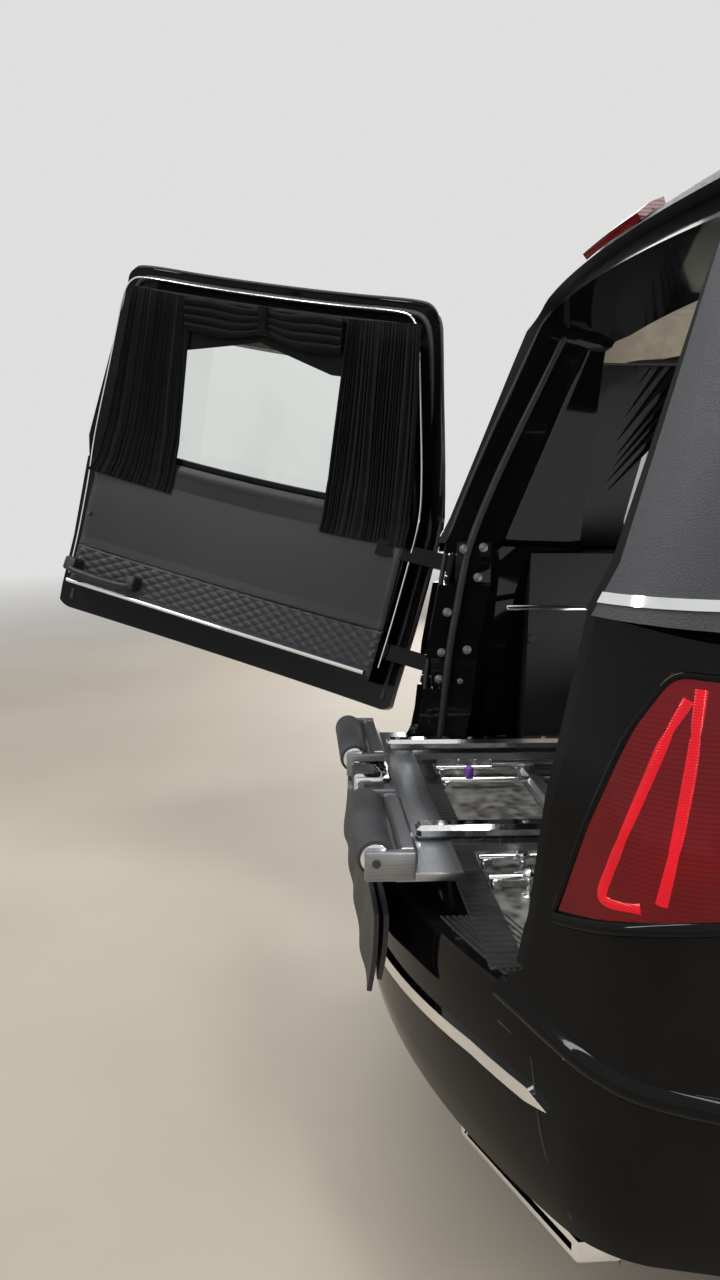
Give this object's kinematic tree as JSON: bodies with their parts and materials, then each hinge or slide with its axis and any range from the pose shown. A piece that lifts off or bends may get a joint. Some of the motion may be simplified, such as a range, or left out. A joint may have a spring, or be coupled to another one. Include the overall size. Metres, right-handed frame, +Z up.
{
  "type": "hearse",
  "caption": "Long hearse with a raised vinyl roof, open side-hinged rear door and sliding casket table.",
  "frame": {"origin": "On the ground, on the centre plane, halfway between the axles.", "axes": "+Y is forward, +X is the car's right, +Z is up."},
  "size_m": [2.4808, 7.0986, 1.9645],
  "materials": {
    "aluminium": "brushed aluminium",
    "black_paint": "gloss black body paint",
    "chrome": "polished chrome",
    "clear_lens": "clear lamp lens",
    "dark_glass": "dark tinted glass",
    "deck": "dark ribbed deck",
    "fabric": "black pleated curtain",
    "glass": "lightly tinted glass",
    "headliner": "beige headliner cloth",
    "iron": "dark cast iron",
    "jamb_paint": "gloss black jamb paint",
    "leather": "black leather",
    "plastic": "black cabin plastic",
    "red_lens": "red lamp lens",
    "rubber": "dark rubber",
    "steel": "plain steel",
    "trim": "taupe trim panel",
    "tyre": "tyre rubber",
    "under": "underbody coating",
    "vinyl": "grained dark slate vinyl"
  },
  "bodies": {
    "shell": {"cowl": "plastic", "dashboard": "plastic", "deck_rails": "chrome", "door_pillars": "jamb_paint", "engine": "iron", "exhaust": "steel", "front_bumper": "black_paint", "front_seats": "leather", "fuel_tank": "under", "grille": "chrome", "headlamps": "clear_lens", "headliner": "headliner", "load_deck": "deck", "partition": "trim", "quarter_glass": "dark_glass", "quarter_panels": "black_paint", "rear_axle": "iron", "rear_bumper": "black_paint", "rear_jamb": "jamb_paint", "roof": "vinyl", "side_drapes": "fabric", "side_trims": "trim", "steering_column": "plastic", "stop_lamp": "red_lens", "subframe": "under", "tail_lamps": "red_lens", "underbody": "under", "windscreen": "glass", "wings": "black_paint"},
    "hood": {"hood": "black_paint"},
    "front_door_left": {"front_door_left": "black_paint", "front_door_glass_left": "glass"},
    "rear_side_door_left": {"rear_side_door_left": "black_paint", "rear_side_door_glass_left": "dark_glass"},
    "knuckle_left": {"knuckle_left": "iron"},
    "front_door_right": {"front_door_right": "black_paint", "front_door_glass_right": "glass"},
    "rear_side_door_right": {"rear_side_door_right": "black_paint", "rear_side_door_glass_right": "dark_glass"},
    "knuckle_right": {"knuckle_right": "iron"},
    "rear_door": {"rear_door": "black_paint", "rear_door_drapes": "fabric", "rear_door_glass": "glass", "rear_door_straps": "jamb_paint", "rear_door_trim": "leather"},
    "casket_table": {"casket_table": "aluminium"},
    "table_rollers": {"table_rollers": "rubber"},
    "steering_wheel": {"steering_wheel": "leather"},
    "wheel_front_left": {"tyre_front_left": "tyre", "rim_front_left": "aluminium"},
    "wheel_front_right": {"tyre_front_right": "tyre", "rim_front_right": "aluminium"},
    "wheel_rear_left": {"tyre_rear_left": "tyre", "rim_rear_left": "aluminium"},
    "wheel_rear_right": {"tyre_rear_right": "tyre", "rim_rear_right": "aluminium"}
  },
  "joints": [
    {"name": "hood_hinge", "type": "hinge", "parent": "shell", "child": "hood", "pos_m": [0, 0.95, 1.012], "axis": [1, 0, 0], "range_deg": [0, 50]},
    {"name": "rear_door_hinge", "type": "hinge", "parent": "shell", "child": "rear_door", "pos_m": [-0.695, -3.187, 1], "axis": [0, 0.2062, 0.9785], "range_deg": [0, 120]},
    {"name": "casket_table_slide", "type": "slide", "parent": "shell", "child": "casket_table", "axis": [0, 1, 0], "range_m": [0, 0.3]},
    {"name": "table_roller_spin", "type": "hinge", "parent": "casket_table", "child": "table_rollers", "pos_m": [0, -3.454, 0.76], "axis": [1, 0, 0], "continuous": true},
    {"name": "steer_left", "type": "hinge", "parent": "shell", "child": "knuckle_left", "pos_m": [-0.735, 1.73, 0.346], "axis": [0, 0, 1], "range_deg": [-35, 35]},
    {"name": "steer_right", "type": "hinge", "parent": "shell", "child": "knuckle_right", "pos_m": [0.735, 1.73, 0.346], "axis": [0, 0, 1], "range_deg": [-35, 35]},
    {"name": "steering_wheel_turn", "type": "hinge", "parent": "shell", "child": "steering_wheel", "pos_m": [-0.365, 0.33, 0.905], "axis": [0, -0.9135, 0.4067], "range_deg": [-495, 495]},
    {"name": "front_door_left_hinge", "type": "hinge", "parent": "shell", "child": "front_door_left", "pos_m": [-0.938, 0.876, 0.62], "axis": [0.0523, 0, 0.9986], "range_deg": [-65, 0]},
    {"name": "rear_side_door_left_hinge", "type": "hinge", "parent": "shell", "child": "rear_side_door_left", "pos_m": [-0.938, -0.35, 0.62], "axis": [0.0523, 0, 0.9986], "range_deg": [-65, 0]},
    {"name": "front_door_right_hinge", "type": "hinge", "parent": "shell", "child": "front_door_right", "pos_m": [0.938, 0.876, 0.62], "axis": [-0.0523, 0, 0.9986], "range_deg": [0, 65]},
    {"name": "rear_side_door_right_hinge", "type": "hinge", "parent": "shell", "child": "rear_side_door_right", "pos_m": [0.938, -0.35, 0.62], "axis": [-0.0523, 0, 0.9986], "range_deg": [0, 65]},
    {"name": "wheel_front_left_spin", "type": "hinge", "parent": "knuckle_left", "child": "wheel_front_left", "pos_m": [-0.795, 1.73, 0.346], "axis": [1, 0, 0], "continuous": true},
    {"name": "wheel_front_right_spin", "type": "hinge", "parent": "knuckle_right", "child": "wheel_front_right", "pos_m": [0.795, 1.73, 0.346], "axis": [1, 0, 0], "continuous": true},
    {"name": "wheel_rear_left_spin", "type": "hinge", "parent": "shell", "child": "wheel_rear_left", "pos_m": [-0.795, -1.73, 0.346], "axis": [1, 0, 0], "continuous": true},
    {"name": "wheel_rear_right_spin", "type": "hinge", "parent": "shell", "child": "wheel_rear_right", "pos_m": [0.795, -1.73, 0.346], "axis": [1, 0, 0], "continuous": true}
  ],
  "couplings": [
    {"joint": "steer_right", "follows": "steer_left", "ratio": 1},
    {"joint": "steering_wheel_turn", "follows": "steer_left", "ratio": 14},
    {"joint": "casket_table_slide", "follows": "rear_door_hinge", "m_per_rad": 0.1432}
  ]
}
